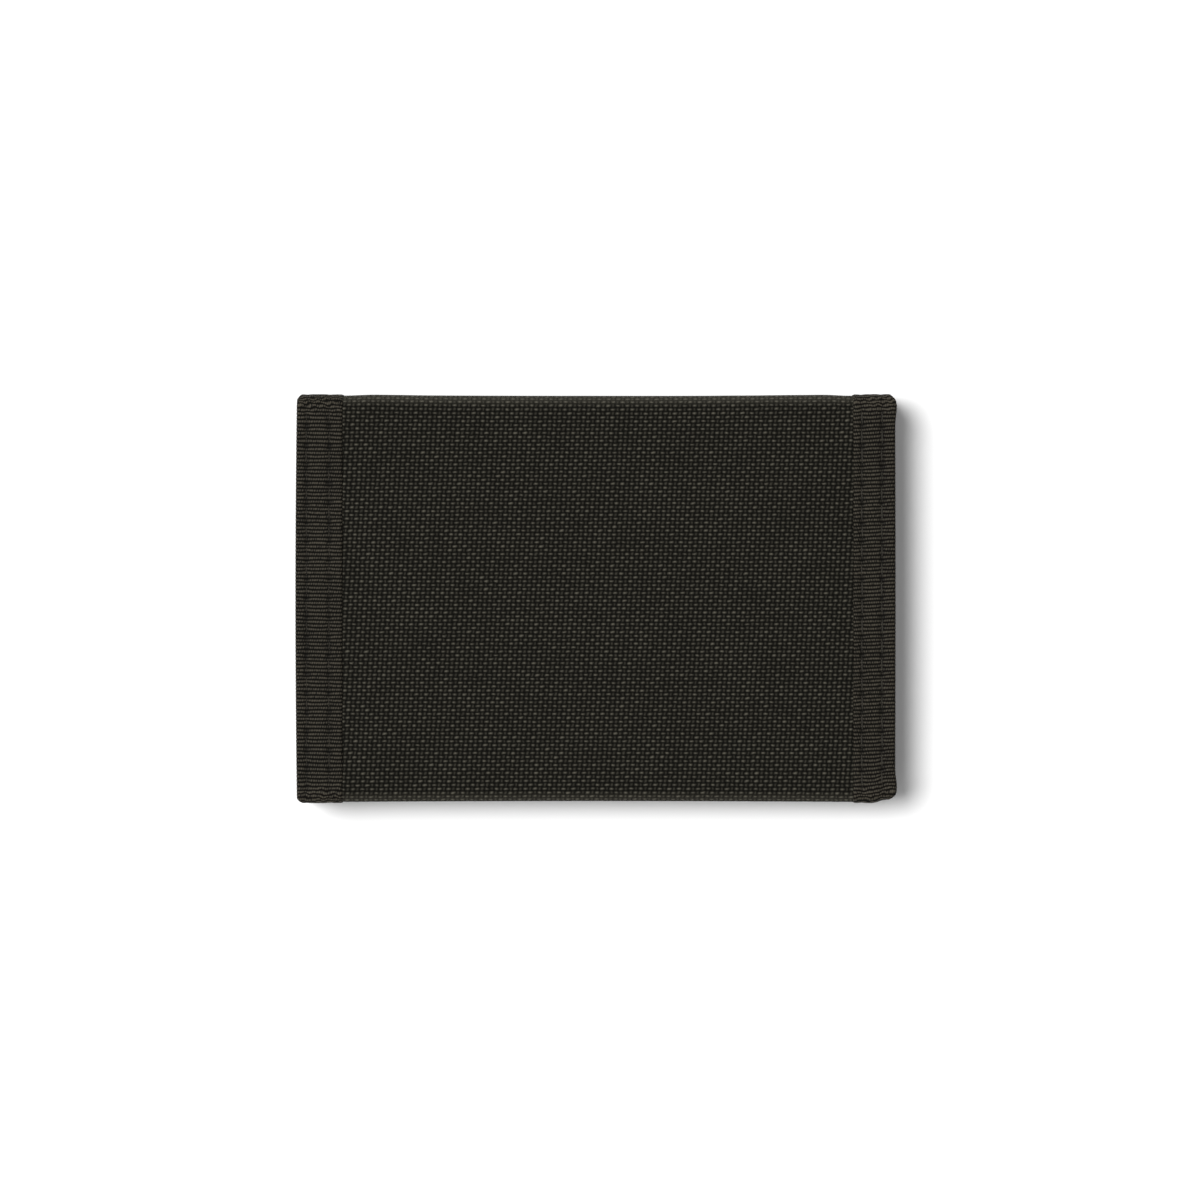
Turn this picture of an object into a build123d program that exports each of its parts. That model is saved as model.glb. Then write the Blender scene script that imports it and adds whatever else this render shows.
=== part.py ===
from build123d import *
import os

# A fabric bifold wallet, folded shut and lying flat. X runs along the fold, +Y is the fold side
# and +Z is up. The front half lies underneath and the rear half on top, as its mirror image.

# Driving dimensions, in millimetres
WIDTH = 120.0  # along the fold, over both side bindings
DEPTH = 81.0  # from the free edges to the outside of the fold
THICKNESS = 12.4  # both halves shut, with nothing in them
LEFT_TAPE_WIDTH = 9.2  # what shows of the left binding on an outer face
RIGHT_TAPE_WIDTH = 8.6
TAPE = 0.35  # thickness of the binding tape
TAPE_RECESS = 0.05  # how far the bindings lie below the outer faces
FOLD_RADIUS = 3.0  # of the canvas where it turns into the spine
EDGE_RADIUS = 1.6  # of the canvas where it turns round a free edge
LEFT_CORNER = 0.8
RIGHT_CORNER = 1.2

# Heights of a half's layers, measured inwards from its outer face
CANVAS = 0.8
BOARD_TOP = 1.5
LINING_TOP = 1.7
PANEL_BOTTOM = 2.65  # the note compartment lies between this and the lining
PANEL_TOP = 2.95
FACE_TOP = 4.5  # the top of the pocket faces and of the turned hem
TAPE_TOP = FACE_TOP + TAPE
SPINE_LINING = 0.25  # thickness of the lining where it crosses the spine
HEM = 0.5  # thickness of the canvas hem inside a free edge

# Places along Y
FREE_Y = -DEPTH / 2
FOLD_Y = DEPTH / 2 - FOLD_RADIUS
HEM_Y = -28.0
PANEL_Y = 36.0  # the inner panel's edge beside the fold
BOUND_Y = 36.5  # up to here a binding wraps the whole half, and beyond it the canvas alone

# Places along X
EDGE_X = WIDTH / 2
INNER_X = EDGE_X - TAPE
LEFT_X = -EDGE_X + LEFT_TAPE_WIDTH
RIGHT_X = EDGE_X - RIGHT_TAPE_WIDTH

# Pockets
COIN_LINING_TOP = 3.1
COIN_FACE_BOTTOM = 4.1
COIN_FACE_Y = 33.0
ZIP_Y = 20.0
ZIP_SLOT = 6.0  # gap between the two pieces of the coin pocket's face
POCKET_TOPS = (27.0, 14.0, 1.0)  # opening edges of the card pockets, rear one first
POCKET_SHEET = 0.4
POCKET_PITCH = 0.5

# Zip
ZIP_TAPE = 0.25
ZIP_TAPE_Y = 9.0  # how far each zip tape reaches from the zip's middle
CHAIN_HALF = 44.0
CHAIN_OUT = 1.65  # outer side of a row of teeth, from the zip's middle
CHAIN_IN = 0.35
CHAIN_ROOT = 0.5
CHAIN_Z = (3.6, 4.7)
TOOTH = 0.7
TOOTH_PITCH = 1.4
STOP = 2.0

# Zip slider and pull
SLIDER_X = 39.0  # where the slider rests, with the zip closed
SLIDER = (9.0, 6.6)
SLIDER_CORNER = 1.2
PLATE = (4.85, 0.4)  # bottom and thickness of the plate over the teeth
UNDER_PLATE = (3.2, 0.25)
LIP = 0.7  # width of the lips along both sides of the plates
LIP_OUT = 2.9  # their outer side, from the zip's middle
LIP_Z = (4.25, 4.85)
UNDER_LIP_Z = (3.45, 3.7)
LIP_END = 1.0  # how far the lips stop short of the plates' ends
POST = (2.5, 0.4)  # length and thickness of the post between the plates
CROWN = (5.2, 1.6)  # the arch on top that the pull hangs from
CROWN_LEGS = (-2.6, 1.8)  # where its legs start, from the slider's middle
CROWN_LEG = 0.8
CROWN_Z = (6.0, 6.4)
PULL = (17.0, 5.0, 0.5)
PULL_Z = 5.38
PULL_CORNER = 1.5
EYE = (1.8, 2.4)
EYE_X = SLIDER_X - 2.2
EYE_FROM_END = 2.1

# Closure strips
STRIP = (64.0, 10.0)
STRIP_TOP = 6.1
STRIP_Y = -34.2

LOWER_FOLD = (FOLD_Y, FOLD_RADIUS)
UPPER_FOLD = (FOLD_Y, THICKNESS - FOLD_RADIUS)
BOUND_NEAR = TAPE_RECESS + TAPE  # where the canvas lies under a binding
MIDDLE = Plane.XY.offset(THICKNESS / 2)


def block(y_low, y_high, z_low, z_high, mode=Mode.ADD):
    """A rectangle in the sketch in hand, which lies across X."""
    with Locations(((y_low + y_high) / 2, (z_low + z_high) / 2)):
        Rectangle(y_high - y_low, z_high - z_low, mode=mode)


def edge_block(inset, top, end, mode=Mode.ADD):
    """A half's section from its rounded free edge up to end, inset from the outside."""
    start = FREE_Y + inset
    corners = ((end, inset), (start, inset), (start, top), (end, top))
    with BuildLine() as outline:
        around = FilletPolyline(*corners, radius=EDGE_RADIUS)
        Line(around @ 0, around @ 1)
    make_face(outline.edges(), mode=mode)


def fold_arc(centre, start_angle, near, far):
    """Half of a layer's quarter turn round a fold, between two depths below the canvas."""
    with BuildLine() as outline:
        outer = CenterArc(centre, FOLD_RADIUS - near, start_angle, 45)
        inner = CenterArc(centre, FOLD_RADIUS - far, start_angle, 45)
        Line(outer @ 0, inner @ 0)
        Line(outer @ 1, inner @ 1)
    make_face(outline.edges())


def half_fold(near, far, start):
    """A layer of the front half from start to the middle of the lower fold."""
    block(start, FOLD_Y, near, far)
    fold_arc(LOWER_FOLD, 270, near, far)


def spine_layer(near, far):
    """A layer of the spine, between the middles of the two folds."""
    outside = FOLD_Y + FOLD_RADIUS
    block(outside - far, outside - near, FOLD_RADIUS, THICKNESS - FOLD_RADIUS)
    fold_arc(LOWER_FOLD, 315, near, far)
    fold_arc(UPPER_FOLD, 0, near, far)


def across(x_low, x_high):
    """The plane of a section that is pushed from x_low, and how far."""
    return Plane.YZ.offset(x_low), x_high - x_low


def slab(x_low, x_high, y_low, y_high, z_low, z_high, mode=Mode.ADD):
    """A flat rectangular piece of the part in hand."""
    with BuildSketch(Plane.XY.offset(z_low)) as outline:
        with Locations(((x_low + x_high) / 2, (y_low + y_high) / 2)):
            Rectangle(x_high - x_low, y_high - y_low)
    extrude(outline.sketch, amount=z_high - z_low, mode=mode)


def trim_corners():
    """Rounds the free edge's two corners in plan."""
    with BuildSketch() as outline:
        Rectangle(WIDTH, DEPTH)
        free_side = outline.vertices().group_by(Axis.Y)[0].sort_by(Axis.X)
        fillet(free_side[0], radius=LEFT_CORNER)
        fillet(outline.vertices().group_by(Axis.Y)[0].sort_by(Axis.X)[-1], radius=RIGHT_CORNER)
    extrude(outline.sketch, amount=THICKNESS, mode=Mode.INTERSECT)


def write(piece, label):
    piece.part.label = label
    export_step(piece.part, f"parts/{label}.step")


def write_pair(front, label):
    """Writes the front half's piece and its mirror image in the rear half."""
    write(front, label.format("front"))
    with BuildPart() as rear:
        mirror(front.part, about=MIDDLE)
    write(rear, label.format("rear"))


def shell_stretches():
    """The canvas between the bindings, then under each of them: x from, x to, inset."""
    return (
        (LEFT_X, RIGHT_X, 0.0),
        (-INNER_X, LEFT_X, BOUND_NEAR),
        (RIGHT_X, INNER_X, BOUND_NEAR),
    )


def make_shells():
    """The outer canvas: it turns round each free edge as a hem and round the spine."""
    with BuildPart() as front_shell:
        for x_low, x_high, inset in shell_stretches():
            plane, length = across(x_low, x_high)
            with BuildSketch(plane):
                edge_block(inset, FACE_TOP, FOLD_Y)
                block(FREE_Y + CANVAS, FOLD_Y, CANVAS, FACE_TOP - HEM, mode=Mode.SUBTRACT)
                block(HEM_Y, FOLD_Y, CANVAS, FACE_TOP, mode=Mode.SUBTRACT)
                fold_arc(LOWER_FOLD, 270, inset, CANVAS)
            extrude(amount=length)
    write_pair(front_shell, "{}_shell")

    with BuildPart() as spine_shell:
        for x_low, x_high, inset in shell_stretches():
            plane, length = across(x_low, x_high)
            with BuildSketch(plane):
                spine_layer(inset, CANVAS)
            extrude(amount=length)
    write(spine_shell, "spine_shell")


def make_stiffeners():
    """A thin board between the canvas and the lining of each half."""
    with BuildPart() as board:
        slab(LEFT_X, RIGHT_X, FREE_Y + 2, BOUND_Y - 0.5, CANVAS, BOARD_TOP)
        fillet(board.edges().filter_by(Axis.Z), radius=3)
    write_pair(board, "{}_stiffener")


def make_linings():
    """The note compartment's lining: over the board in each half, on the canvas at the spine."""
    fold_top = CANVAS + SPINE_LINING
    web_y = BOUND_Y - SPINE_LINING
    plane, length = across(-INNER_X, INNER_X)
    with BuildPart() as front_lining:
        with BuildSketch(plane):
            block(FREE_Y + CANVAS, BOUND_Y, BOARD_TOP, LINING_TOP)
            block(web_y, BOUND_Y, CANVAS, LINING_TOP)
            half_fold(CANVAS, fold_top, web_y)
        extrude(amount=length)
    write_pair(front_lining, "{}_lining")

    with BuildPart() as spine_lining:
        with BuildSketch(plane):
            spine_layer(CANVAS, fold_top)
        extrude(amount=length)
    write(spine_lining, "spine_lining")


def make_inner_panels():
    """The sheet between a half's notes and its pockets, joined at the left and the free edge."""
    with BuildPart() as panel:
        slab(-INNER_X, INNER_X, FREE_Y + CANVAS, PANEL_Y, PANEL_BOTTOM, PANEL_TOP)
    write_pair(panel, "{}_inner_panel")


def make_coin_pocket():
    """The zipped pocket on the front half's inner panel."""
    slot_half = ZIP_SLOT / 2
    with BuildPart() as lining:
        slab(-INNER_X, INNER_X, FREE_Y + CANVAS, COIN_FACE_Y, PANEL_TOP, COIN_LINING_TOP)
    write(lining, "coin_pocket_lining")
    with BuildPart() as lower_face:
        slab(-INNER_X, INNER_X, HEM_Y, ZIP_Y - slot_half, COIN_FACE_BOTTOM, FACE_TOP)
    write(lower_face, "coin_pocket_face_lower")
    with BuildPart() as upper_face:
        slab(-INNER_X, INNER_X, ZIP_Y + slot_half, COIN_FACE_Y, COIN_FACE_BOTTOM, FACE_TOP)
    write(upper_face, "coin_pocket_face_upper")


def make_card_pockets():
    """Three stepped card pockets on the rear half's inner panel, open towards the fold."""
    for number, top in enumerate(POCKET_TOPS, start=1):
        height = PANEL_TOP + number * POCKET_PITCH
        with BuildPart() as pocket:
            slab(-INNER_X, INNER_X, HEM_Y, top, THICKNESS - height, THICKNESS - height + POCKET_SHEET)
        write(pocket, f"card_pocket_{number}")


def make_zip_rows():
    """Two tapes and two rows of teeth, which face each other across the zip's middle."""
    low, high = CHAIN_Z
    count = int(2 * CHAIN_HALF / TOOTH_PITCH)
    for side, label in ((-1, "lower"), (1, "upper")):
        sides = sorted((ZIP_Y + side * ZIP_TAPE_Y, ZIP_Y + side * CHAIN_OUT))
        with BuildPart() as tape:
            slab(LEFT_X, RIGHT_X, *sides, COIN_FACE_BOTTOM - ZIP_TAPE, COIN_FACE_BOTTOM)
        write(tape, f"zip_tape_{label}")

        root = ZIP_Y + side * (CHAIN_OUT - CHAIN_ROOT / 2)
        tooth = ZIP_Y + side * (CHAIN_OUT + CHAIN_IN) / 2
        with BuildPart() as teeth:
            with BuildSketch(Plane.XY.offset(low)):
                with Locations((0, root)):
                    Rectangle(2 * CHAIN_HALF, CHAIN_ROOT)
                with Locations((side * TOOTH_PITCH / 4, tooth)):
                    with GridLocations(TOOTH_PITCH, 1, count, 1):
                        Rectangle(TOOTH, CHAIN_OUT - CHAIN_IN)
            extrude(amount=high - low)
        write(teeth, f"zip_teeth_{label}")


def make_zip_stops():
    """A clamp at each end of the rows of teeth."""
    low, high = CHAIN_Z
    with BuildPart() as stops:
        with BuildSketch(Plane.XY.offset(low)):
            with Locations((0, ZIP_Y)):
                with GridLocations(2 * CHAIN_HALF + STOP, 1, 2, 1):
                    Rectangle(STOP, 2 * CHAIN_OUT)
        extrude(amount=high - low)
    write(stops, "zip_stops")


def make_zip_slider():
    """The slider: a plate over and under the rows, joined by a thin post between them."""
    length, width = SLIDER
    left, right = SLIDER_X - length / 2, SLIDER_X + length / 2
    with BuildPart() as slider:
        for z_low, thick in (PLATE, UNDER_PLATE):
            with BuildSketch(Plane.XY.offset(z_low)) as outline:
                with Locations((SLIDER_X, ZIP_Y)):
                    Rectangle(length, width)
                fillet(outline.vertices(), radius=SLIDER_CORNER)
            extrude(amount=thick)
        for y_low in (ZIP_Y - LIP_OUT, ZIP_Y + LIP_OUT - LIP):
            for z_range in (LIP_Z, UNDER_LIP_Z):
                slab(left + LIP_END, right - LIP_END, y_low, y_low + LIP, *z_range)
        post_end = right - LIP_END
        crown_low = sum(PLATE)
        slab(post_end - POST[0], post_end, ZIP_Y - POST[1] / 2, ZIP_Y + POST[1] / 2, UNDER_PLATE[0], crown_low)
        crown_y = (ZIP_Y - CROWN[1] / 2, ZIP_Y + CROWN[1] / 2)
        for leg in CROWN_LEGS:
            slab(SLIDER_X + leg, SLIDER_X + leg + CROWN_LEG, *crown_y, crown_low, CROWN_Z[0])
        slab(SLIDER_X - CROWN[0] / 2, SLIDER_X + CROWN[0] / 2, *crown_y, *CROWN_Z)
    write(slider, "zip_slider")


def make_zip_pull():
    """The pull, a flat tab lying back over the closed zip, with its eye on the slider's crown."""
    length, width, thick = PULL
    with BuildPart() as pull:
        with BuildSketch(Plane.XY.offset(PULL_Z)) as outline:
            with Locations((EYE_X + EYE_FROM_END - length / 2, ZIP_Y)):
                Rectangle(length, width)
            fillet(outline.vertices(), radius=PULL_CORNER)
            with Locations((EYE_X, ZIP_Y)):
                Rectangle(*EYE, mode=Mode.SUBTRACT)
        extrude(amount=thick)
    write(pull, "zip_pull")


def make_closure():
    """Hook strip on the front half's hem and loop strip facing it on the rear half's."""
    half_length, half_width = STRIP[0] / 2, STRIP[1] / 2
    with BuildPart() as hook:
        slab(-half_length, half_length, STRIP_Y - half_width, STRIP_Y + half_width, FACE_TOP, STRIP_TOP)
        fillet(hook.edges().filter_by(Axis.Z), radius=1)
    write(hook, "hook_strip")
    with BuildPart() as loop:
        mirror(hook.part, about=MIDDLE)
    write(loop, "loop_strip")


def tape_section(low=0.0, high=TAPE_TOP, solid=False):
    """The binding round a half's outer face, free edge and pockets, kept between two heights.

    The solid section is the web that closes the half's side edge.
    """
    edge_block(TAPE_RECESS, TAPE_TOP, BOUND_Y)
    if not solid:
        edge_block(BOUND_NEAR, FACE_TOP, BOUND_Y, mode=Mode.SUBTRACT)
    if low > 0:
        block(FREE_Y, BOUND_Y, 0, low, mode=Mode.SUBTRACT)
    if high < TAPE_TOP:
        block(FREE_Y, BOUND_Y, high, TAPE_TOP, mode=Mode.SUBTRACT)


def fold_legs():
    """The binding's two legs where it goes round the canvas and lining of the fold."""
    inner_near = CANVAS + SPINE_LINING
    half_fold(TAPE_RECESS, BOUND_NEAR, BOUND_Y)
    half_fold(inner_near, inner_near + TAPE, BOUND_Y)


def make_left_binding():
    """The tape over the left edge, round every layer of a half."""
    fold_far = CANVAS + SPINE_LINING + TAPE
    plane, length = across(-EDGE_X, LEFT_X)
    with BuildPart() as tape:
        with BuildSketch(plane):
            tape_section()
            fold_legs()
        extrude(amount=length)
        with BuildSketch(plane):
            tape_section(solid=True)
            half_fold(TAPE_RECESS, fold_far, BOUND_Y)
        extrude(amount=TAPE)
        trim_corners()
    write_pair(tape, "binding_left_{}")


def make_right_binding():
    """The tape over the right edge of canvas, board and lining, beside the note opening."""
    fold_far = CANVAS + SPINE_LINING + TAPE
    leg_top = LINING_TOP + TAPE
    plane, length = across(RIGHT_X, EDGE_X)
    with BuildPart() as tape:
        with BuildSketch(plane):
            tape_section(high=leg_top)
            block(FREE_Y + CANVAS, BOUND_Y, LINING_TOP, leg_top)
            fold_legs()
        extrude(amount=length)
        with BuildSketch(Plane.YZ.offset(INNER_X)):
            tape_section(high=leg_top, solid=True)
            half_fold(TAPE_RECESS, fold_far, BOUND_Y)
        extrude(amount=TAPE)
        trim_corners()
    write_pair(tape, "binding_right_{}")


def make_panel_binding():
    """The tape over the right edge of the inner panel and its pockets, the note opening's lip."""
    leg_bottom = PANEL_BOTTOM - TAPE
    plane, length = across(RIGHT_X, EDGE_X)
    with BuildPart() as tape:
        with BuildSketch(plane):
            tape_section(low=leg_bottom)
            block(FREE_Y + CANVAS, BOUND_Y, leg_bottom, PANEL_BOTTOM)
        extrude(amount=length)
        with BuildSketch(Plane.YZ.offset(INNER_X)):
            tape_section(low=leg_bottom, solid=True)
        extrude(amount=TAPE)
        trim_corners()
    write_pair(tape, "binding_panel_{}")


def make_spine_bindings():
    """The side tapes where they go round the spine's canvas and lining."""
    inner_near = CANVAS + SPINE_LINING
    fold_far = inner_near + TAPE
    for x_low, x_high, web_x, label in (
        (-EDGE_X, LEFT_X, -EDGE_X, "left"),
        (RIGHT_X, EDGE_X, INNER_X, "right"),
    ):
        plane, length = across(x_low, x_high)
        with BuildPart() as tape:
            with BuildSketch(plane):
                spine_layer(TAPE_RECESS, BOUND_NEAR)
                spine_layer(inner_near, fold_far)
            extrude(amount=length)
            with BuildSketch(Plane.YZ.offset(web_x)):
                spine_layer(TAPE_RECESS, fold_far)
            extrude(amount=TAPE)
        write(tape, f"binding_{label}_spine")


os.makedirs("parts", exist_ok=True)
make_shells()
make_stiffeners()
make_linings()
make_inner_panels()
make_coin_pocket()
make_card_pockets()
make_zip_rows()
make_zip_stops()
make_zip_slider()
make_zip_pull()
make_closure()
make_left_binding()
make_right_binding()
make_panel_binding()
make_spine_bindings()
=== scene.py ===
"""Looks of the fabric bifold wallet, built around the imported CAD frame.

Local sizes are in millimetres. Both halves are built as heights inwards from their outer face.
"""

import math

import bpy
import numpy as np
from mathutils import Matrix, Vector


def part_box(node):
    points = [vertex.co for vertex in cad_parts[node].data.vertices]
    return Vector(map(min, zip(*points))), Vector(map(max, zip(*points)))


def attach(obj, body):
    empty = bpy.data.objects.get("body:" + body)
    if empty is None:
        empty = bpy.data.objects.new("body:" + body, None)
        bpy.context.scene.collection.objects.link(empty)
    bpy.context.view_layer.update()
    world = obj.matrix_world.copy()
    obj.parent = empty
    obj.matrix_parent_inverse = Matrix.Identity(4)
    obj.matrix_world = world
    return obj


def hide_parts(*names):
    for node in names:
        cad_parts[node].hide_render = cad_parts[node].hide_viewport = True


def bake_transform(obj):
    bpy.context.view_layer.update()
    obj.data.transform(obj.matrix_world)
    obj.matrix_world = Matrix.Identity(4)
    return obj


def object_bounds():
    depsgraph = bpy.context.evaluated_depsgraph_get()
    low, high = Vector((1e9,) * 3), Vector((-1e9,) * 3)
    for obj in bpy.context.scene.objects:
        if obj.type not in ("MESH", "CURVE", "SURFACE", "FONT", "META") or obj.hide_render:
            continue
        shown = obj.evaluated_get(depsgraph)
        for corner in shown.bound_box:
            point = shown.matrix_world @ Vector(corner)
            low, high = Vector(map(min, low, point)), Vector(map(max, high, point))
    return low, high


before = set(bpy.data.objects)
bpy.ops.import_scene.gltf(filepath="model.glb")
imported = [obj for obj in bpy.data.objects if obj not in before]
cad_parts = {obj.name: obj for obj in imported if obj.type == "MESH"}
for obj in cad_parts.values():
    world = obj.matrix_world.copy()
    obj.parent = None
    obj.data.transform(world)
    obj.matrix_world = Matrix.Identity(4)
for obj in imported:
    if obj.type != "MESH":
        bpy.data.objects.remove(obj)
cad_low, cad_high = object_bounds()

MM = 0.001

# Sizes read from the frame
HALF_WIDTH = cad_high.x / MM
FREE_Y = cad_low.y / MM
FOLD_OUT_Y = cad_high.y / MM
THICKNESS = cad_high.z / MM
STACK_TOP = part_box("front_shell")[1].z / MM
HEM_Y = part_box("coin_pocket_face_lower")[0].y / MM
LEFT_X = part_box("binding_left_front")[1].x / MM
RIGHT_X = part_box("binding_right_front")[0].x / MM
LINING_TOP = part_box("front_lining")[1].z / MM
PANEL_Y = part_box("front_inner_panel")[1].y / MM
PANEL_TAPE_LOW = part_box("binding_panel_front")[0].z / MM
TAPE_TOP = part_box("binding_left_front")[1].z / MM
BOUND_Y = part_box("binding_panel_front")[1].y / MM

# Soft shapes
FOLD_RADIUS = 3.0
EDGE_RADIUS = 1.6
EDGE_Y = FREE_Y + EDGE_RADIUS  # where the free edge starts to turn
FOLD_Y = FOLD_OUT_Y - FOLD_RADIUS  # where the outer face starts to turn into the fold
LEFT_CORNER, RIGHT_CORNER = 0.9, 1.3  # radii of the corners in plan
CANVAS, HEM, TAPE = 0.75, 0.45, 0.35  # thicknesses
CANVAS_CROWN, CANVAS_PINCH = 0.28, 0.42  # how far the canvas stands up and is pinched at the tapes
FOLD_TAPE_DEPTH = 1.4  # outside of the tape's inner leg where it wraps the fold
EDGE_TAPE_DEPTH = 1.2  # how far the left inner tape stops short of the outer face
TAPE_BEND = 0.55  # radius of the tape's turns over an edge
TAPE_END = 4.5  # length over which the tapes' ends are uneven, with scrambled ribs and a lighter colour
RIB, RIB_RELIEF = 0.75, 0.13  # pitch and height of the tape's ribs
STITCH, INNER_STITCH = 3.8, 2.8  # lengths of the stitches
STITCH_PULL = 0.24  # how far a stitch pulls the tape down
LEFT_ROWS = (-58.0, -53.5)  # where the bindings' rows of stitches run, along X
RIGHT_ROWS = (57.1, 53.1)
WARP_LEAN = math.tan(math.radians(3.8))  # the warp isn't quite square to the weft
SIDE_X = HALF_WIDTH - 1.4  # side edges of the cloths, inside the tapes
SEWN_X = SIDE_X - 8.8  # ends of the inner rows of stitches, beside the tapes
SHEET_EDGE = 0.25  # radius of the sheets' edges
TURNED = 0.22  # how much thicker a sheet is where its edge is turned
PANEL_HEM, CARD_HEM, COIN_LOWER_HEM, COIN_UPPER_HEM = 5.0, 7.0, 6.0, 4.0  # widths of turned edges
UNDER_HEM_Y = HEM_Y - 3.5  # lower edges of the pockets, under the canvas's hem


# ---------- paths

class Path:
    """A line in the YZ plane made of straights and arcs, with its inward normal at each length."""

    def __init__(self, steps):
        self.steps, self.length = [], 0.0
        for step in steps:
            long = step[-1]
            self.steps.append((self.length, step))
            self.length += long

    def at(self, along):
        """(y, z, inward y, inward z) arrays at these lengths."""
        along = np.asarray(along, float)
        out = np.zeros((4,) + along.shape)
        for start, step in self.steps:
            here = along >= start - 1e-9
            t = along[here] - start
            if step[0] == "line":
                _, y, z, dy, dz, _ = step
                out[:, here] = (y + dy * t, z + dz * t, -dz + 0 * t, dy + 0 * t)
            else:
                _, cy, cz, radius, angle, _ = step
                a = angle + t / radius
                out[:, here] = (cy + radius * np.cos(a), cz + radius * np.sin(a), -np.cos(a), -np.sin(a))
        return out


def half_path(top, hem=True):
    """Outside of a half's cloth: hem, free edge, outer face, fold and half the spine."""
    quarter = math.pi / 2
    edge, fold = EDGE_RADIUS, FOLD_RADIUS
    steps = []
    if hem:
        steps.append(("line", HEM_Y, top, -1, 0, HEM_Y - EDGE_Y))
    steps += [
        ("arc", EDGE_Y, top - edge, edge, quarter, edge * quarter),
        ("line", FREE_Y, top - edge, 0, -1, top - 2 * edge),
        ("arc", EDGE_Y, edge, edge, 2 * quarter, edge * quarter),
        ("line", EDGE_Y, 0, 1, 0, FOLD_Y - EDGE_Y),
        ("arc", FOLD_Y, fold, fold, 3 * quarter, fold * quarter),
        ("line", FOLD_OUT_Y, fold, 0, 1, THICKNESS / 2 - fold),
    ]
    return Path(steps)


# ---------- meshes

def waves(seed, count, low, high):
    """A few sine waves with fixed random directions, as a smooth noise over two lengths."""
    r = np.random.default_rng(seed)
    angle = r.uniform(0, math.tau, count)
    size = r.uniform(low, high, count)
    phase = r.uniform(0, math.tau, count)

    def noise(a, b):
        total = 0
        for k in range(count):
            ahead = a * np.cos(angle[k]) + b * np.sin(angle[k])
            total = total + np.sin(ahead * math.tau / size[k] + phase[k])
        return total / count

    return noise


def mesh_object(name, points, faces, cloth=None):
    """A mesh from points in millimetres, with its cloth coordinates as a point attribute."""
    mesh = bpy.data.meshes.new(name)
    mesh.from_pydata((np.asarray(points) * MM).tolist(), [], [tuple(f) for f in faces])
    if cloth is not None:
        attribute = mesh.attributes.new("cloth", "FLOAT_VECTOR", "POINT")
        attribute.data.foreach_set("vector", np.asarray(cloth, np.float32).ravel())
    mesh.polygons.foreach_set("use_smooth", [True] * len(mesh.polygons))
    mesh.update()
    piece = bpy.data.objects.new(name, mesh)
    bpy.context.scene.collection.objects.link(piece)
    return piece


def loop_faces(rings, around):
    """Quads joining closed rings in a row, with a cap on each end."""
    faces = []
    for i in range(rings - 1):
        for j in range(around):
            k = (j + 1) % around
            faces.append((i * around + j, i * around + k, (i + 1) * around + k, (i + 1) * around + j))
    faces.append(tuple(range(around))[::-1])
    faces.append(tuple((rings - 1) * around + j for j in range(around)))
    return faces


class Bundle:
    """Several closed shapes gathered into one mesh."""

    def __init__(self):
        self.points, self.faces, self.cloth, self.count = [], [], [], 0

    def add(self, points, faces, cloth):
        self.points.append(np.asarray(points, float))
        self.faces.extend(tuple(i + self.count for i in face) for face in faces)
        self.cloth.append(np.asarray(cloth, float))
        self.count += len(points)

    def add_slab(self, upper, lower, cloth):
        """A thin sheet between two grids of points."""
        self.add(slab_ring(upper, lower), slab_faces(*cloth.shape[:2]), slab_ring(cloth, cloth))

    def piece(self, name, half, flip=False):
        """All of it as one object of this half; flip turns the faces the other way."""
        points = turned(np.concatenate(self.points), half)
        return mesh_object(name, points, faces_for(self.faces, half, flip), np.concatenate(self.cloth))


def slab_faces(rows, columns):
    """Faces of a thin slab whose rings run over its upper side and back under it."""
    around = 2 * columns
    faces = loop_faces(rows, around)[:-2]
    for end in (0, rows - 1):
        for j in range(columns - 1):
            quad = tuple(end * around + k for k in (j, j + 1, around - 2 - j, around - 1 - j))
            faces.append(quad[::-1] if end == 0 else quad)
    return faces


def slab_ring(upper, lower):
    """Upper and lower grids of points as one run of closed rings."""
    return np.concatenate([upper, lower[:, ::-1]], 1).reshape(-1, upper.shape[-1])


def turned(points, half):
    """The front half's points, or their mirror image for the rear half."""
    points = np.array(points, float)
    if half == "rear":
        points[:, 2] = THICKNESS - points[:, 2]
    return points


def faces_for(faces, half, flip=False):
    """Faces wound so that they look outwards in either half."""
    if (half == "rear") != flip:
        return [tuple(f)[::-1] for f in faces]
    return faces


def fold_blend(piece):
    """Bakes a piece's transform into its mesh."""
    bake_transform(piece)


# ---------- outline

def smooth_step(t):
    t = np.clip(t, 0, 1)
    return t * t * (3 - 2 * t)


def corner_inset(y, radius):
    """How far a side edge draws in at the rounded corners."""
    near = np.minimum(y - FREE_Y, FOLD_OUT_Y - y)
    short = np.clip(radius - near, 0, radius)
    inset = radius - np.sqrt(np.maximum(radius**2 - short**2, 0))
    return np.where(y > 0, np.minimum(inset, 0.45 * radius), inset)


def edge_x(side, y):
    """Where the outside of a side edge is, for points at y."""
    middle = 1 - (y / FOLD_OUT_Y) ** 2
    if side < 0:
        return -(HALF_WIDTH - 0.1 + 0.3 * middle - corner_inset(y, LEFT_CORNER))
    corner_swell = np.exp(-(((np.abs(y) - 38.0) / 2.2) ** 2))
    return HALF_WIDTH - 0.3 + 0.1 * middle + 0.35 * corner_swell - corner_inset(y, RIGHT_CORNER)


def end_draw(x, y):
    """Shift along Y: the side tapes stand proud of both long edges, which draw in between them."""
    across = np.clip(1 - (x / 56.0) ** 2, 0, 1)
    fold_side = (0.38 - 0.38 * across) * smooth_step((y - 28) / 11)
    corner_lift = 0.65 * smooth_step((x - 55.0) / 3.2)
    free_side = (-0.36 + 0.22 * across + corner_lift) * smooth_step((-y - 28) / 11)
    return fold_side + free_side


# ---------- canvas

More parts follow.
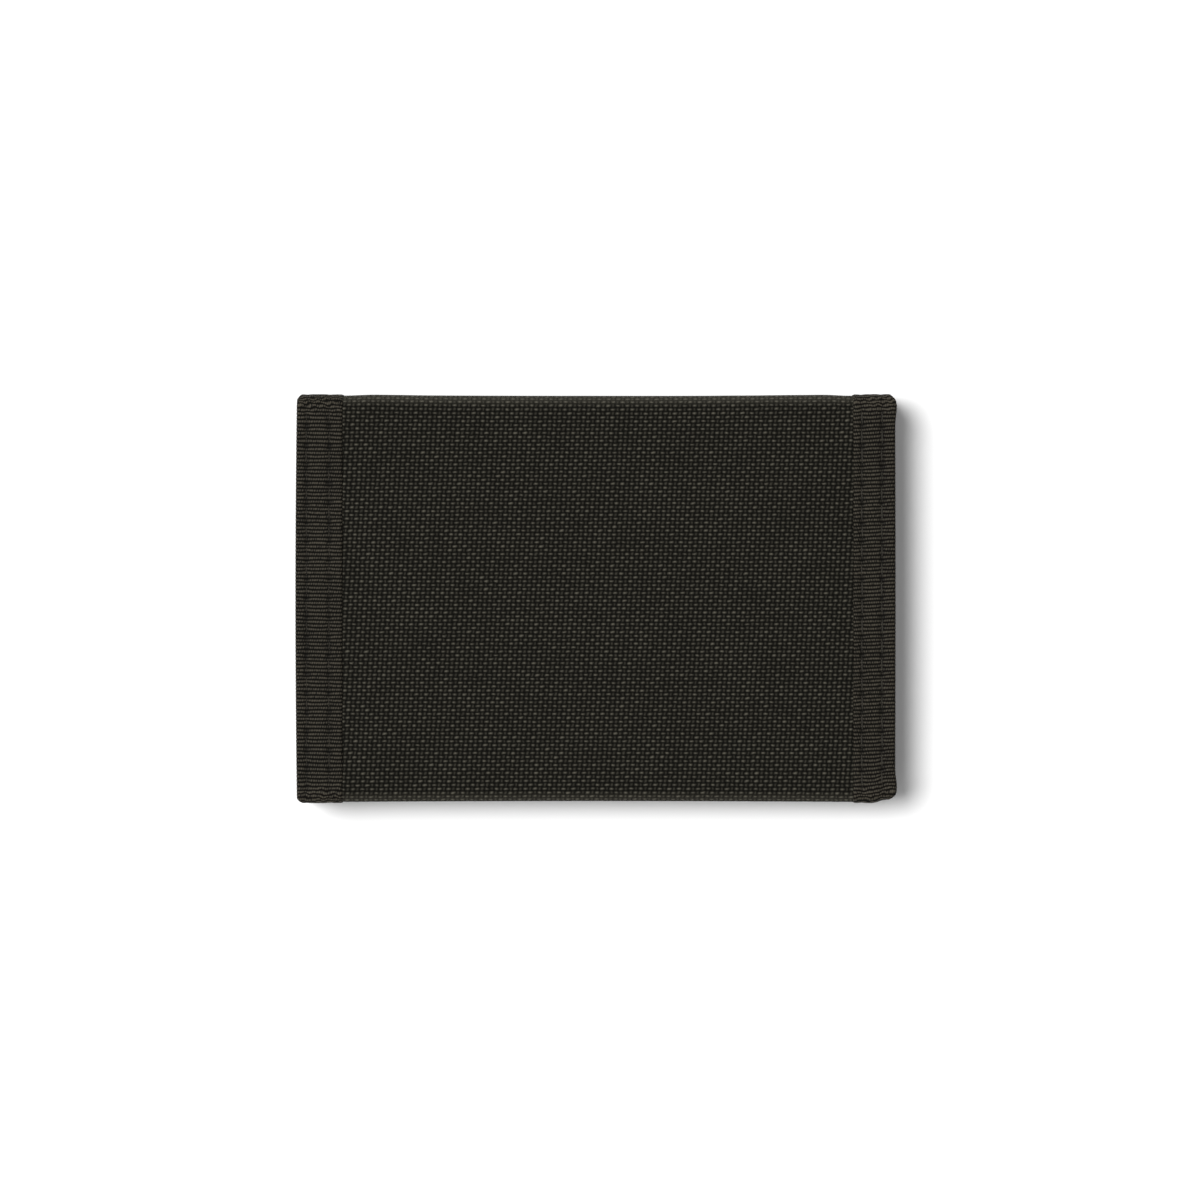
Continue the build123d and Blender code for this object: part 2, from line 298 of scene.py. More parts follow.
lumps = waves(3, 9, 18.0, 55.0)
ripples = waves(8, 9, 5.0, 14.0)


def canvas_depth(x, along_y):
    """How far the outer canvas lies below its plane: crowned in the middle, pinched at the tapes."""
    side = np.where(x < 0, x - LEFT_X, RIGHT_X - x)
    crown = CANVAS_CROWN * smooth_step(side / 7.0)
    pinch = CANVAS_PINCH * smooth_step(-side / 0.8)
    return 0.1 - crown + pinch + 0.07 * lumps(x, along_y) + 0.02 * ripples(x, along_y)


def make_canvas(half):
    """One half's outer canvas, from the hem's edge to the middle of the spine."""
    path = half_path(STACK_TOP)
    along = np.concatenate([
        np.linspace(0, 12, 12, endpoint=False),
        np.linspace(12, 21, 26, endpoint=False),
        np.linspace(21, path.length - 9, 60, endpoint=False),
        np.linspace(path.length - 9, path.length, 26),
    ])
    columns = np.concatenate([
        np.linspace(-SIDE_X, LEFT_X - 1, 6, endpoint=False),
        np.linspace(LEFT_X - 1, LEFT_X + 8, 16, endpoint=False),
        np.linspace(LEFT_X + 8, RIGHT_X - 8, 44, endpoint=False),
        np.linspace(RIGHT_X - 8, RIGHT_X + 1, 16, endpoint=False),
        np.linspace(RIGHT_X + 1, SIDE_X, 6),
    ])
    s, x = np.meshgrid(along, columns, indexing="ij")
    y, z, ny, nz = path.at(s)
    face = smooth_step((s - 17) / 4)
    depth = canvas_depth(x, y) * face + (1 - face) * 0.05
    sides = []
    for d in (depth, 0.1 + HEM + (CANVAS - HEM) * face):
        sides.append(np.stack([x, y + ny * d + end_draw(x, y), z + nz * d], -1))
    along_cloth = s if half == "front" else 2 * path.length - s
    # A painted highlight along the rounded rims at the fold and the free edge, weaker at the free edge.
    rim_highlight = smooth_step((np.abs(y) - (FOLD_OUT_Y - 2.3)) / 1.9)
    cloth = np.stack([x, along_cloth, rim_highlight * np.where(y > 0, 1.0, 0.7)], -1)
    bundle = Bundle()
    bundle.add_slab(*sides, cloth)
    return bundle.piece(f"canvas_{half}", half, True), path.length


# ---------- binding tape

scramble = waves(21, 9, 1.1, 3.2)
tape_lumps = waves(5, 7, 6.0, 18.0)
LEG_POINTS = 34


def rib_phase(s, x, side, rows):
    """Length along the tape that its cross ribs are counted in; stitches pull it into waves."""
    wave = 0
    for row in rows:
        wave = wave + 0.11 * np.exp(-(((x - row) / 0.7) ** 2)) * np.cos(math.tau * s / STITCH)
    if side > 0:
        wave = wave - (x - RIGHT_X) * math.tan(math.radians(2.6))
    else:
        wave = wave + (x - LEFT_X) * math.tan(math.radians(0.8))
    return s + wave + 0.09 * tape_lumps(x, s)


def rib_height(phase):
    """Raised round ribs with narrow grooves between them."""
    f = phase / RIB % 1.0
    return np.sqrt(np.maximum(1 - (2 * f - 1) ** 2 * 0.97, 0))


def stitch_dip(s, x, rows):
    """How much a stitch pulls the tape down, most of all at its needle holes."""
    dip = 0
    hole = 0.5 + 0.5 * np.cos(math.tau * s / STITCH)
    for row in rows:
        dip = dip + np.exp(-(((x - row) / 0.55) ** 2)) * (0.55 + 0.45 * hole**6)
    return dip


def tape_depth(s, x, inner_x, rows, side, end_mix):
    """Depth of the tape's outside below the outer plane, with ribs and stitch rows."""
    from_inner = np.abs(x - inner_x)
    rise = -0.16 * smooth_step(from_inner / 0.4)
    slack = 0.05 * tape_lumps(x * 0.7, s)
    phase = rib_phase(s + end_mix * 0.8 * scramble(x, s), x, side, rows)
    ribs = -RIB_RELIEF * (rib_height(phase) - 0.5)
    dip = stitch_dip(s, x, rows) * (1 - 0.65 * end_mix)
    return 0.05 + rise + slack + STITCH_PULL * dip + ribs, phase, dip


def tape_section(s, y, side, depth_far, low_bend, low_reach):
    """Outline of the folded tape across its length: each point's x, depth, rib phase and dip, which also
    sets the tape's painted shade in the stitch grooves.

    depth_far is the inner leg's depth, low_bend the radius of the second turn, and low_reach how much
    of the visible leg's width the inner leg has.
    """
    rows = LEFT_ROWS if side < 0 else RIGHT_ROWS
    inner_x = LEFT_X if side < 0 else RIGHT_X
    out_x = float(edge_x(side, np.array(y)))
    bend = min(TAPE_BEND, depth_far / 2)
    low_bend = min(low_bend, depth_far / 2)
    flat = np.linspace(0, 1, LEG_POINTS) ** 0.9
    x_flat = inner_x + (out_x - side * bend - inner_x) * flat
    end_mix = max(0.0, 1 - min(FOLD_OUT_Y - y, y - FREE_Y) / TAPE_END)
    d_flat, phase_flat, dip_flat = tape_depth(s, x_flat, inner_x, rows, side, end_mix)
    turn = np.linspace(0, math.pi / 2, 6)[1:]
    rib_here = 0.08 * float(rib_height(phase_flat[-1]))
    x_turn = out_x - side * bend + side * (bend + rib_here) * np.sin(turn)
    d_turn = d_flat[-1] + bend * (1 - np.cos(turn))
    d_web = np.linspace(d_turn[-1], depth_far - low_bend, 4)[1:]
    x_low = out_x - side * low_bend + side * (low_bend + rib_here) * np.cos(turn)
    d_low = depth_far - low_bend + low_bend * np.sin(turn)
    x_end = out_x + (inner_x - out_x) * low_reach
    x_leg = np.linspace(x_low[-1], x_end, 8)[1:]
    in_x = out_x - side * TAPE
    x_in = (x_end, in_x, in_x, inner_x)
    d_top = min(2 * TAPE, depth_far - TAPE - 0.05)
    d_in = (depth_far - TAPE, depth_far - TAPE, d_top, d_top)
    if low_reach < 0.1:
        x_in, d_in = (in_x, in_x, in_x, inner_x), (depth_far, depth_far - TAPE, d_top, d_top)
    xs = np.concatenate([x_flat, x_turn, np.full(len(d_web), x_turn[-1]), x_low, x_leg, x_in])
    ds = np.concatenate([d_flat, d_turn, d_web, d_low, np.full(len(x_leg), depth_far), d_in])
    wobble = 0.05 * math.sin(math.tau * s / RIB) + 0.06 * float(tape_lumps(s, side * 9.0))
    xs = xs + np.where(np.abs(xs - inner_x) < 0.3, side * wobble, 0)
    phase = np.concatenate([phase_flat, np.full(len(xs) - LEG_POINTS, phase_flat[-1])])
    # The dip also sets painted shade in the stitch grooves, and makes the tape lighter towards its ends.
    dip = np.concatenate([dip_flat, np.zeros(len(xs) - LEG_POINTS)]) - 0.6 * end_mix
    return xs, ds, phase, dip


def make_tape(name, half, side, path, depth_of, low_bend=TAPE_BEND, low_reach=1.0,
              first=0.0, last=None):
    """A length of binding tape folded over an edge, along a path on its visible leg.

    depth_of gives the inner leg's depth from the length along the path and the path's whole length.
    """
    last = path.length if last is None else last
    along = np.append(np.arange(first, last - RIB / 12, RIB / 6), last)
    y, z, ny, nz = path.at(along)
    points, cloth = [], []
    for k, s in enumerate(along):
        far = depth_of(s, path.length)
        xs, ds, phase, dip = tape_section(s, y[k], side, far, low_bend, low_reach)
        points.append(np.stack([xs, y[k] + ny[k] * ds + end_draw(xs, y[k]), z[k] + nz[k] * ds], -1))
        lengths = np.concatenate([[0], np.cumsum(np.hypot(np.diff(xs), np.diff(ds)))])
        cloth.append(np.stack([side * lengths, phase, dip], -1))
    bundle = Bundle()
    bundle.add(np.concatenate(points), loop_faces(len(along), len(points[0])), np.concatenate(cloth))
    piece = bundle.piece(name, half, side > 0)
    give(piece, tape)
    return piece


# ---------- stitches

def thread_tube(centres, radius, sides):
    """Points and faces of a short tube along a line, with round-drawn ends."""
    centres = np.asarray(centres, float)
    along = np.gradient(centres, axis=0)
    along /= np.linalg.norm(along, axis=1)[:, None]
    steady = np.array([1.0, 0.0, 0.0]) if abs(along[0, 0]) < 0.8 else np.array([0.0, 1.0, 0.0])
    across = np.cross(along, steady)
    across /= np.linalg.norm(across, axis=1)[:, None]
    third = np.cross(along, across)
    angle = np.linspace(0, math.tau, sides, endpoint=False)
    ring = centres[:, None] + radius[:, None, None] * (
        np.cos(angle)[None, :, None] * across[:, None] + np.sin(angle)[None, :, None] * third[:, None]
    )
    return ring.reshape(-1, 3), loop_faces(len(centres), sides)


STITCH_POINTS, STITCH_SIDES = 9, 6


def add_stitch(bundle, start, end, up, random, thick=0.17):
    """One stitch between two needle holes, rising out of them along up."""
    t = np.linspace(0.08, 0.92, STITCH_POINTS)[:, None]
    lift = np.sin(np.pi * t) ** 0.5
    start, end, up = (np.asarray(v, float) for v in (start, end, up))
    side = np.cross(end - start, up)
    side = side / np.linalg.norm(side)
    height = 0.24 * lift - 0.16 + random.uniform(-0.02, 0.02)
    sway = random.uniform(-0.07, 0.07) + 0.12 * (t - 0.5)
    centres = start + (end - start) * t + up * height + side * sway
    radius = (thick * (0.55 + 0.45 * lift) * random.uniform(0.93, 1.07))[:, 0]
    points, faces = thread_tube(centres, radius, STITCH_SIDES)
    length = float(np.linalg.norm(end - start))
    around = np.tile(np.arange(STITCH_SIDES) * 0.18, STITCH_POINTS)
    ahead = np.repeat(t[:, 0] * length, STITCH_SIDES)
    cloth = np.stack([around, ahead, 0 * around], -1)
    bundle.add(points, faces, cloth)


def add_tape_row(bundle, path, row, start, stop, random, depth):
    """A row of lockstitches that follows a path at one place across it."""
    first = math.ceil(start / STITCH)
    holes = np.arange(first, math.floor(stop / STITCH) + 1) * STITCH
    y, z, ny, nz = path.at(holes)
    y = y + end_draw(np.full(len(y), row), y)
    holes = np.stack([np.full(len(y), row), y + ny * depth, z + nz * depth], -1)
    for k in range(len(holes) - 1):
        up = (0, -(ny[k] + ny[k + 1]) / 2, -(nz[k] + nz[k + 1]) / 2)
        add_stitch(bundle, holes[k], holes[k + 1], up, random)


def add_straight_row(bundle, start, end, random):
    """A straight row of finer stitches on an inner face."""
    start, end = np.asarray(start, float), np.asarray(end, float)
    count = max(1, round(float(np.linalg.norm(end - start)) / INNER_STITCH))
    for k in range(count):
        one, two = start + (end - start) * k / count, start + (end - start) * (k + 1) / count
        add_stitch(bundle, one, two, (0, 0, 1), random, thick=0.14)


# ---------- materials

class Graph:
    """A node material under construction."""

    def __init__(self, name):
        self.material = bpy.data.materials.new(name)
        self.material.use_nodes = True
        self.tree = self.material.node_tree
        self.shader = self.tree.nodes["Principled BSDF"]

    def node(self, kind, inputs=(), **settings):
        made = self.tree.nodes.new(kind)
        for key, value in settings.items():
            setattr(made, key, value)
        for key, value in dict(inputs).items():
            self.put(made.inputs[key], value)
        return made

    def put(self, socket, value):
        if isinstance(value, bpy.types.NodeSocket):
            self.tree.links.new(value, socket)
        else:
            socket.default_value = value

    def math(self, operation, a, b=0.0, clamp=False):
        made = self.node("ShaderNodeMath", {0: a, 1: b}, operation=operation, use_clamp=clamp)
        return made.outputs[0]

    def plus(self, a, b, clamp=False):
        return self.math("ADD", a, b, clamp)

    def minus(self, a, b):
        return self.math("SUBTRACT", a, b)

    def times(self, a, b, clamp=False):
        return self.math("MULTIPLY", a, b, clamp)

    def varied(self, tone, noise, amount):
        """The tone, made lighter and darker by a noise."""
        return self.plus(tone, self.times(self.minus(noise, 0.5), amount))

    def mix(self, factor, dark, light):
        made = self.node("ShaderNodeMix", data_type="RGBA")
        self.put(made.inputs["Factor"], factor)
        made.inputs[6].default_value = (*dark, 1)
        made.inputs[7].default_value = (*light, 1)
        return made.outputs[2]

    def noise(self, vector, scale, detail=2.0, rough=0.5):
        inputs = {"Vector": vector, "Scale": scale, "Detail": detail, "Roughness": rough}
        return self.node("ShaderNodeTexNoise", inputs).outputs["Fac"]

    def stretch(self, vector, x, y, z=1.0):
        made = self.node("ShaderNodeVectorMath", {0: vector, 1: (x, y, z)}, operation="MULTIPLY")
        return made.outputs[0]

    def surface(self, color, rough, gloss, height, relief):
        """The finished material; relief is the bump's depth in metres."""
        self.put(self.shader.inputs["Base Color"], color)
        self.put(self.shader.inputs["Roughness"], rough)
        self.shader.inputs["Specular IOR Level"].default_value = gloss
        inputs = {"Height": height, "Distance": relief, "Strength": 1.0}
        self.put(self.shader.inputs["Normal"], self.node("ShaderNodeBump", inputs).outputs[0])
        return self.material

    def third(self, vector):
        """The cloth attribute's third value: a painted highlight along the canvas's rims, and painted
        shade in the tape's stitch grooves, lighter at the tape's ends.
        """
        return self.node("ShaderNodeSeparateXYZ", {0: vector}).outputs[2]

    def cloth(self):
        """The cloth's own coordinates in millimetres: whole vector, across, along."""
        vector = self.node("ShaderNodeAttribute", attribute_name="cloth").outputs["Vector"]
        parts = self.node("ShaderNodeSeparateXYZ", {0: vector})
        return vector, parts.outputs[0], parts.outputs[1]


YARN_ROUND = 1.2  # how sharply a yarn rounds off across itself
FLOAT_SINK = 1.4  # how early a float sinks towards its ends
# CROWN sets the painted highlight on the floats' tops against the painted shade between them.
CROWN = 2.0  # how much lighter the floats' tops are
WARP_SHADE = 0.64  # how much darker the warp's floats are
DRIFT, JITTER = 0.32, 0.42  # how far the yarns wander, in pitches
FLOAT_TONE = 0.80  # mean tone of a float, before the variations below
STREAKS, PATCHES, SPARKLE = 0.9, 0.3, 0.45  # filaments, wide areas and single floats
# lightness of the painted highlight along the canvas's rounded rims
RIM_HIGHLIGHT = 0.30


def weave_height(g, u, v):
    """Height of a plain weave at u yarns across and v yarns along, and which yarn is on top."""
    column, row = g.math("ROUND", u), g.math("ROUND", v)
    warp_sign = g.math("COSINE", g.times(column, math.pi))
    weft_sign = g.math("COSINE", g.times(row, math.pi))
    warp_rise = g.times(warp_sign, g.math("COSINE", g.times(v, math.pi)))
    weft_rise = g.times(weft_sign, g.math("COSINE", g.times(u, math.pi)))
    warp_round = g.math("COSINE", g.times(g.minus(u, column), math.pi))
    weft_round = g.math("COSINE", g.times(g.minus(v, row), math.pi))

    def float_height(rounding, rise, sign):
        lifted = g.plus(0.5, g.times(rise, 0.5 * sign), clamp=True)
        return g.times(g.math("POWER", rounding, YARN_ROUND), g.math("POWER", lifted, FLOAT_SINK))

    warp = float_height(warp_round, warp_rise, 1)
    weft = float_height(weft_round, weft_rise, -1)
    return g.math("MAXIMUM", warp, weft), g.math("GREATER_THAN", warp, weft)


def yarn_places(g, vector, across, along, pitches, lean):
    """Yarns counted across and along, with their slow drift and their jitter."""
    warp_pitch, weft_pitch = pitches
    spread = 1 / warp_pitch
    drift = g.minus(g.noise(g.stretch(vector, 0.34 * spread, 0.34 * spread), 1.0, 3.0), 0.5)
    jitter = g.minus(g.noise(g.stretch(vector, 0.9 * spread, spread), 1.0, 1.0), 0.5)
    drift = g.times(g.plus(g.times(drift, DRIFT), g.times(jitter, JITTER)), warp_pitch)
    leaning = g.plus(across, g.times(along, lean))
    u = g.math("DIVIDE", g.plus(leaning, drift), warp_pitch)
    v = g.math("DIVIDE", g.minus(along, g.times(drift, 0.7)), weft_pitch)
    return u, v


def woven_material(name, dark, light, pitches, relief, lean=0.0, gloss=0.10):
    """Plain-woven cloth: leaning warp yarns, level weft yarns and filament streaks, with a painted
    highlight on the floats' tops, painted shade between the floats and a painted highlight along rims.

    pitches are the warp's and the weft's in millimetres.
    """
    g = Graph(name)
    vector, across, along = g.cloth()
    u, v = yarn_places(g, vector, across, along, pitches, lean)
    height, warp_on_top = weave_height(g, u, v)
    fine, long = 8.6 / pitches[0], 0.75 / pitches[0]
    streak_warp = g.noise(g.stretch(vector, fine, long), 1.0, 2.0)
    streak_weft = g.noise(g.stretch(vector, long, fine), 1.0, 2.0)
    weft_on_top = g.minus(1.0, warp_on_top)
    streaks = g.plus(g.times(warp_on_top, streak_warp), g.times(weft_on_top, streak_weft))
    shade = g.minus(1.0, g.times(warp_on_top, WARP_SHADE))
    # crown is a painted highlight on the floats' tops and painted shade where they sink between one
    # another; the warp's floats are darker by WARP_SHADE.
    crown = g.times(g.math("POWER", height, CROWN), shade)
    patches = g.noise(g.stretch(vector, 0.09, 0.09), 1.0, 3.0)
    counted = {0: g.math("ROUND", u), 1: g.math("ROUND", v), 2: warp_on_top}
    cell = g.node("ShaderNodeCombineXYZ", counted).outputs[0]
    sparkle = g.node("ShaderNodeTexWhiteNoise", {"Vector": cell}).outputs["Value"]
    tone = g.plus(g.times(g.minus(streaks, 0.5), STREAKS), FLOAT_TONE)
    tone = g.varied(tone, patches, PATCHES)
    tone = g.plus(tone, g.times(g.math("POWER", sparkle, 2.0), SPARKLE))
    # The floats' painted highlight and the painted shade between them.
    tone = g.times(tone, crown)
    # The painted highlight along the canvas's rims, from the cloth attribute's third value.
    tone = g.plus(tone, g.times(g.third(vector), RIM_HIGHLIGHT), clamp=True)
    rough = g.minus(0.95, g.times(crown, g.times(streaks, 0.8)))
    height = g.plus(height, g.times(streaks, 0.12))
    return g.surface(g.mix(tone, dark, light), rough, gloss, height, relief)


THREAD_PITCH, KNOT_PITCH = 0.27, 0.47  # the tape's warp threads, and the spots they make on a rib


def tape_material(name, dark, light):
    """Grosgrain: fine warp threads over the raised cross ribs of the mesh, with painted shade in the
    grooves between the ribs and in the stitch grooves.
    """
    g = Graph(name)
    vector, across, along = g.cloth()
    thread = g.noise(g.stretch(vector, 2.9, 1.3), 1.0, 2.0, 0.6)
    rib = g.noise(g.stretch(vector, 0.5, 1.5), 1.0, 2.0)
    patches = g.noise(g.stretch(vector, 0.16, 0.12), 1.0, 3.0)
    phase = g.times(along, math.tau / RIB)
    # groove is nought in the grooves between the ribs and one on their tops; below, it paints shade into
    # the grooves.
    groove = g.times(g.minus(1.0, g.math("COSINE", phase)), 0.5)
    lines = g.math("SINE", g.times(across, math.tau / THREAD_PITCH))
    tone = g.plus(g.times(g.minus(thread, 0.5), 3.0), 0.72)
    tone = g.varied(tone, rib, 0.6)
    rib_number = g.math("ROUND", g.minus(g.math("DIVIDE", along, RIB), 0.5))
    knot = g.plus(g.times(across, math.tau / KNOT_PITCH), g.times(rib_number, math.pi))
    knot = g.math("SINE", g.plus(knot, g.times(patches, 9.0)))
    tone = g.plus(tone, g.times(knot, 0.45))
    tone = g.varied(tone, patches, 0.6)
    # Painted shade in the stitch grooves and, through groove, in the grooves between the ribs; where the
    # third value is below nought, at the ends, the tape comes out lighter.
    stitch_groove_shade = g.minus(1.0, g.times(g.third(vector), 0.85))
    tone = g.times(g.times(tone, stitch_groove_shade), g.math("POWER", groove, 1.5), clamp=True)
    rough = g.minus(0.95, g.times(groove, 0.4))
    height = g.plus(g.times(lines, 0.25), g.times(thread, 0.8))
    return g.surface(g.mix(tone, dark, light), rough, 0.10, height, 0.00005)


def thread_material(name, dark, light):
    """Twisted sewing thread."""
    g = Graph(name)
    _, across, along = g.cloth()
    plies = g.plus(g.times(along, math.tau / 0.45), g.times(across, 9.0))
    twist = g.math("SINE", plies)
    tone = g.plus(g.times(twist, 0.4), 0.55, clamp=True)
    return g.surface(g.mix(tone, dark, light), 0.6, 0.2, twist, 0.00004)


def solid_material(name, dark, light, rough, gloss, grain, relief, sheen=0.0):
    """A plain hard or napped surface with mottled colour, roughness and grain."""
    g = Graph(name)
    place = g.stretch(g.node("ShaderNodeTexCoord").outputs["Object"], 1000, 1000, 1000)
    coarse = g.noise(place, 0.35, 3.0)
    small = g.noise(place, grain, 4.0, 0.65)
    speckle = g.minus(g.times(small, 1.2), 0.35)
    tone = g.plus(g.times(coarse, 0.5), speckle, clamp=True)
    rough = g.plus(rough - 0.15, g.times(small, 0.3))
    g.shader.inputs["Sheen Weight"].default_value = sheen
    return g.surface(g.mix(tone, dark, light), rough, gloss, small, relief)


def give(piece, material):
    """A piece's material."""
    piece.data.materials.clear()
    piece.data.materials.append(material)


canvas = woven_material(
    "canvas", (0.0016, 0.0014, 0.0008), (0.080, 0.0745, 0.057),
    pitches=(0.96, 0.78), relief=0.00028, lean=WARP_LEAN)
pocket_cloth = woven_material(
    "pocket_canvas", (0.0016, 0.0014, 0.0008), (0.068, 0.064, 0.050),
    pitches=(0.62, 0.54), relief=0.00016)
panel_cloth = woven_material(
    "panel_cloth", (0.002, 0.002, 0.0018), (0.027, 0.026, 0.023),
    pitches=(0.40, 0.36), relief=0.00008, gloss=0.12)
lining_cloth = woven_material(
    "lining", (0.002, 0.002, 0.0021), (0.022, 0.0215, 0.0215),
    pitches=(0.30, 0.28), relief=0.00006, gloss=0.15)
zip_cloth = woven_material(
    "zip_tape", (0.003, 0.003, 0.0028), (0.034, 0.033, 0.031),
    pitches=(0.42, 0.60), relief=0.00009, lean=0.8, gloss=0.2)
tape = tape_material("binding_tape", (0.0015, 0.0012, 0.0007), (0.054, 0.047, 0.034))
thread = thread_material("thread", (0.010, 0.009, 0.007), (0.046, 0.041, 0.032))
# A darker copy of the thread: painted shade for the left rows, whose stitches sit deep in their grooves.
shaded_thread = thread_material("thread_shaded", (0.008, 0.0065, 0.0045), (0.038, 0.032, 0.022))
board = solid_material(
    "board", (0.035, 0.035, 0.034), (0.065, 0.064, 0.061),
    rough=0.6, gloss=0.3, grain=6.0, relief=0.00003)
zip_plastic = solid_material(
    "zip_teeth", (0.005, 0.005, 0.005), (0.014, 0.014, 0.0135),
    rough=0.42, gloss=0.35, grain=9.0, relief=0.00002)
zip_metal = solid_material(
    "zip_metal", (0.006, 0.006, 0.006), (0.018, 0.0175, 0.017),
    rough=0.36, gloss=0.4, grain=5.0, relief=0.00002)
hook_nylon = solid_material(
    "hook", (0.004, 0.004, 0.004), (0.014, 0.014, 0.0135),
    rough=0.45, gloss=0.25, grain=8.0, relief=0.00003)
loop_pile = solid_material(
    "loop", (0.004, 0.004, 0.004), (0.034, 0.033, 0.031),
    rough=0.9, gloss=0.15, grain=12.0, relief=0.00010, sheen=0.15)


# ---------- inner sheets

cloth_waves = waves(14, 8, 14.0, 40.0)


def edge_rows(low, high, step, edge=SHEET_EDGE):
    """Places along a side, closer together at its two ends so that they can be rounded."""
    near = edge * np.array([0.0, 0.12, 0.4, 1.0])
    inside = np.linspace(low + edge, high - edge, max(3, int((high - low) / step)))
    return np.concatenate([low + near[:-1], inside, high - near[:-1][::-1]])


def edge_round(near, edge):
    """How thick a sheet is near its edge, as a part of its full thickness."""
    return np.sqrt(np.clip(1 - (1 - np.clip(near / edge, 0, 1)) ** 2, 0.02, 1))


def make_sheet(name, half, box, thick, material, turned_edges=(), wave=0.05):
    """A flat sheet of cloth with soft waves and round edges.

    box is x from, x to, y from, y to and a function that gives the middle's height from x and y.
    A turned edge is (y of the edge, width of the hem), where the cloth is double.
    """
    x_low, x_high, y_low, y_high, middle = box
    rows, columns = edge_rows(y_low, y_high, 0.8), edge_rows(x_low, x_high, 2.2)
    for edge, width in turned_edges:
        fold = edge + math.copysign(width, (y_low + y_high) / 2 - edge)
        rows = np.sort(np.append(rows, (fold - 0.12, fold - 0.04, fold + 0.04, fold + 0.12)))
    y, x = np.meshgrid(rows, columns, indexing="ij")
    full = np.full(y.shape, thick)
    for edge, width in turned_edges:
        full = full + TURNED * smooth_step((width + 0.06 - np.abs(y - edge)) / 0.12)
    near = np.minimum(np.minimum(y - y_low, y_high - y), np.minimum(x - x_low, x_high - x))
    round_off = edge_round(near, SHEET_EDGE)
    z = middle(x, y) + wave * cloth_waves(x * 0.8, y) + 0.3 * wave * ripples(x, y)
    upper = np.stack([x, y, z + (full - thick / 2) * round_off], -1)
    lower = np.stack([x, y, z - thick / 2 * round_off], -1)
    cloth = np.stack([x, y, 0 * y], -1)
    bundle = Bundle()
    bundle.add_slab(upper, lower, cloth)
    piece = bundle.piece(name, half)
    give(piece, material)
    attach(piece, half + "_half")
    return piece


def make_lining(half):
    """The note compartment's lining: over the board, then down onto the canvas and round the fold."""
    thick, fold_depth = 0.22, 1.05
    radius = FOLD_RADIUS - fold_depth
    path = Path([
        ("line", EDGE_Y, fold_depth, 1, 0, FOLD_Y - EDGE_Y),
        ("arc", FOLD_Y, FOLD_RADIUS, radius, 1.5 * math.pi, radius * math.pi / 2),
        ("line", FOLD_Y + radius, FOLD_RADIUS, 0, 1, THICKNESS / 2 - FOLD_RADIUS),
    ])
    bend = FOLD_Y - EDGE_Y - 6
    rows = np.append(edge_rows(0, bend, 1.5)[:-3], np.arange(bend, path.length, 0.35))
    rows = np.append(rows, path.length)
    s, x = np.meshgrid(rows, edge_rows(-SIDE_X, SIDE_X, 2.2), indexing="ij")
    y, z, ny, nz = path.at(s)
    rise = (LINING_TOP - fold_depth) * (1 - smooth_step((y - FOLD_Y + 4.5) / 4.0))
    rise = rise + 0.04 * cloth_waves(x, s) * smooth_step((y + 38) / 6)
    y = y + end_draw(x, y)
    upper = np.stack([x, y + ny * rise, z + nz * rise], -1)
    lower = np.stack([x, y + ny * (rise - thick), z + nz * (rise - thick)], -1)
    cloth = np.stack([x, s, 0 * s], -1)
    bundle = Bundle()
    bundle.add_slab(upper, lower, cloth)
    piece = bundle.piece(f"lining_{half}", half)
    give(piece, lining_cloth)
    fold_blend(piece)
    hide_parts(f"{half}_lining", "spine_lining")


def level(height, dip=0.0, dip_y=0.0, drop=0.0, drop_y=0.0):
    """Height of a sheet's middle: level, dipping under the hem and brought down at its far edge."""

    def middle(x, y):
        under = dip * smooth_step((dip_y - y) / 3.5)
        down = drop * smooth_step((y - drop_y) / 2.6)
        return height - under - down + 0 * x

    return middle


def node_middle(node, half):
    """Middle of a flat CAD sheet, as a height inwards from its half's outer face."""
    low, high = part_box(node)
    middle = (low.z + high.z) / 2 / MM
    return middle if half == "front" else THICKNESS - middle


def make_panel(half):
    """The panel between the notes and the pockets, with one turned edge."""
    node = f"{half}_inner_panel"
    box = (-SIDE_X, SIDE_X, EDGE_Y, PANEL_Y, level(node_middle(node, half) - 0.04))
    piece = make_sheet(f"inner_panel_{half}", half, box, 0.24, panel_cloth,
                       ((PANEL_Y, PANEL_HEM),), 0.03)
    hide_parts(node)


def make_pocket_sheet(name, half, node, y_low, y_high, middle, hems, thick):
    """A sheet of a pocket, sewn to its half's inner panel."""
    piece = make_sheet(name, half, (-SIDE_X, SIDE_X, y_low, y_high, middle), thick, pocket_cloth,
                       hems)
    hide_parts(node)


def sew(name, half, rows):
    """Straight rows of stitches on an inner face, each from (x, y, height) to (x, y, height)."""
    random = np.random.default_rng(len(name))
    bundle = Bundle()
    for start, end in rows:
        add_straight_row(bundle, start, end, random)
    piece = bundle.piece(name, half)
    give(piece, thread)
    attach(piece, half + "_half")


def across_row(y, height):
    """Ends of a row of stitches that runs from tape to tape."""
    return (-SEWN_X, y, height), (SEWN_X, y, height)


